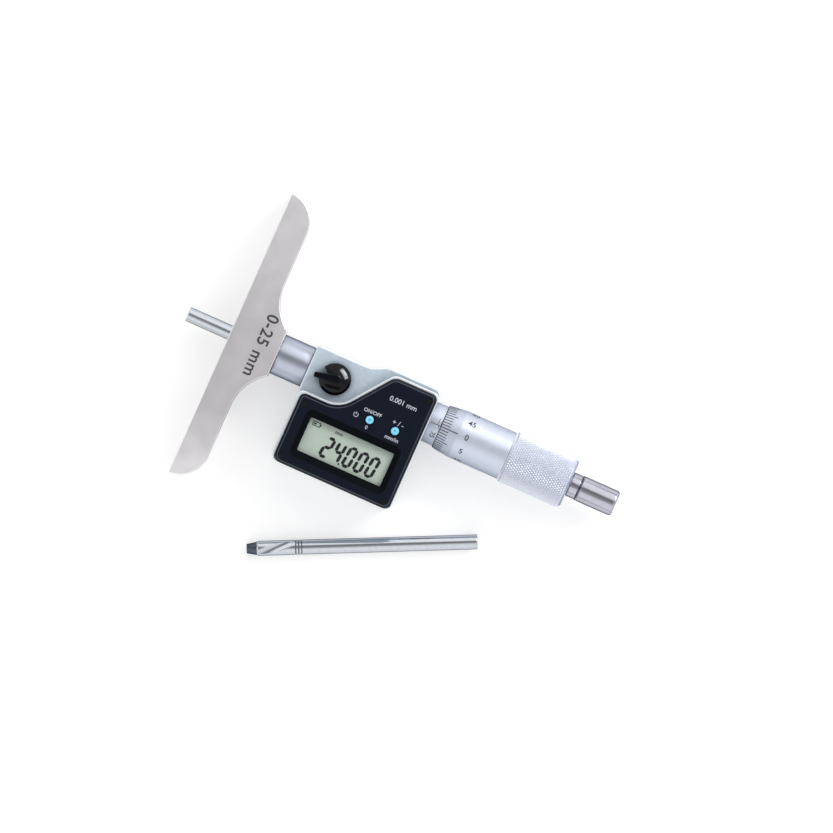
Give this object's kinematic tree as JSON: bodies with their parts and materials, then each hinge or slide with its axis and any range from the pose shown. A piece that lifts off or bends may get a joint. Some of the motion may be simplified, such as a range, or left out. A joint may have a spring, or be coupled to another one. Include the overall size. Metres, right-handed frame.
{
  "type": "digital depth micrometer",
  "caption": "Digital depth micrometer: T-shaped base, display housing, graduated sleeve, knurled thimble, ratchet stop and exchangeable measuring rods.",
  "frame": {"origin": "centre of the base's measuring face, on the spindle axis", "axes": "+X along the spindle axis from the measuring face to the ratchet knob, +Y along the base, +Z out of the display; the gauge lies on its back"},
  "size_m": [0.1557, 0.1158, 0.0219],
  "materials": {
    "base_steel": "satin ground",
    "hard_steel": "polished",
    "black_oxide_steel": "black oxide",
    "satin_chrome": "satin chrome",
    "polished_chrome": "polished",
    "bronze": "turned",
    "seal_rubber": "matt",
    "enamel": "pale blue-grey enamel",
    "cover_plastic": "satin, near black",
    "window_plastic": "clear",
    "lcd_glass": "grey-green display",
    "button_plastic": "light blue",
    "lever_plastic": "glossy black",
    "holder_plastic": "off-white",
    "board": "green laminate",
    "ribbon_film": "amber film",
    "spring_contact_metal": "bright",
    "cell_steel": "bright",
    "cap_plastic": "black",
    "small_steel": "bright"
  },
  "bodies": {
    "frame": {"base": "base_steel", "guide_bush": "hard_steel", "base_set_screws": "black_oxide_steel", "connecting_tube": "satin_chrome", "front_bearing_bush": "bronze", "wiper_seal": "seal_rubber", "frame_casting": "enamel", "clamp_ring": "bronze", "frame_bearing_bush": "bronze", "inner_sleeve": "hard_steel", "graduated_sleeve": "satin_chrome", "adjusting_nut": "small_steel", "encoder_stator": "board", "stator_ribbon": "ribbon_film", "rotor_spring_washer": "small_steel", "main_board": "board", "board_screws": "small_steel", "lcd_panel": "lcd_glass", "lcd_contact_strips": "seal_rubber", "lcd_holder": "holder_plastic", "display_window": "window_plastic", "front_cover": "cover_plastic", "cover_gasket": "seal_rubber", "cover_screws": "black_oxide_steel", "button_membrane": "seal_rubber", "battery": "cell_steel", "battery_contact": "spring_contact_metal", "battery_spring_contact": "spring_contact_metal"},
    "battery_lid": {"battery_cap": "cap_plastic", "battery_cap_seal": "seal_rubber"},
    "rotor": {"encoder_rotor": "board", "rotor_hub": "bronze", "rotor_key": "hard_steel"},
    "screw_spindle": {"spindle": "hard_steel", "rod_grip_ring": "small_steel", "thimble": "satin_chrome", "ratchet_body": "polished_chrome", "ratchet_ring": "black_oxide_steel", "ratchet_wheel": "small_steel", "ratchet_screw": "black_oxide_steel"},
    "ratchet_grip": {"ratchet_knob": "polished_chrome", "ratchet_clutch": "small_steel", "ratchet_spring": "small_steel", "ratchet_end_cap": "polished_chrome"},
    "fitted_rod": {"measuring_rod": "hard_steel", "measuring_rod_cone": "black_oxide_steel"},
    "lock": {"lock_lever": "lever_plastic", "lock_screw": "small_steel"},
    "on_off_key": {"on_off_button": "button_plastic"},
    "unit_key": {"unit_button": "button_plastic"},
    "loose_rod": {"spare_rod": "hard_steel", "spare_rod_cone": "black_oxide_steel"}
  },
  "joints": [
    {"name": "thimble_turn", "type": "hinge", "parent": "frame", "child": "rotor", "pos_m": [0.0585, 0, 0], "axis": [1, 0, 0], "range_deg": [-721, 17281]},
    {"name": "spindle_travel", "type": "slide", "parent": "rotor", "child": "screw_spindle", "axis": [1, 0, 0], "range_m": [-0.001, 0.024]},
    {"name": "ratchet_turn", "type": "hinge", "parent": "screw_spindle", "child": "ratchet_grip", "pos_m": [0.1335, 0, 0], "axis": [1, 0, 0], "continuous": true},
    {"name": "rod_pull", "type": "slide", "parent": "screw_spindle", "child": "fitted_rod", "axis": [-1, 0, 0], "range_m": [0, 0.06]},
    {"name": "lock_lever_turn", "type": "hinge", "parent": "frame", "child": "lock", "pos_m": [0.0382, 0, 0.0083], "axis": [0, 0, 1], "range_deg": [0, 60]},
    {"name": "on_off_press", "type": "slide", "parent": "frame", "child": "on_off_key", "axis": [0, 0, -1], "range_m": [0, 0.0004], "stiffness_N_per_m": 1500, "springref_m": -0.0002},
    {"name": "unit_press", "type": "slide", "parent": "frame", "child": "unit_key", "axis": [0, 0, -1], "range_m": [0, 0.0004], "stiffness_N_per_m": 1500, "springref_m": -0.0002},
    {"name": "battery_cap_turn", "type": "hinge", "parent": "frame", "child": "battery_lid", "pos_m": [0.051, -0.0215, -0.0092], "axis": [0, 0, -1], "range_deg": [0, 90]},
    {"name": "spare_rod_lift", "type": "slide", "parent": "frame", "child": "loose_rod", "axis": [0, 0, 1], "range_m": [0, 0.06]}
  ],
  "couplings": [
    {"joint": "thimble_turn", "follows": "spindle_travel", "rad_per_m": 12566}
  ]
}
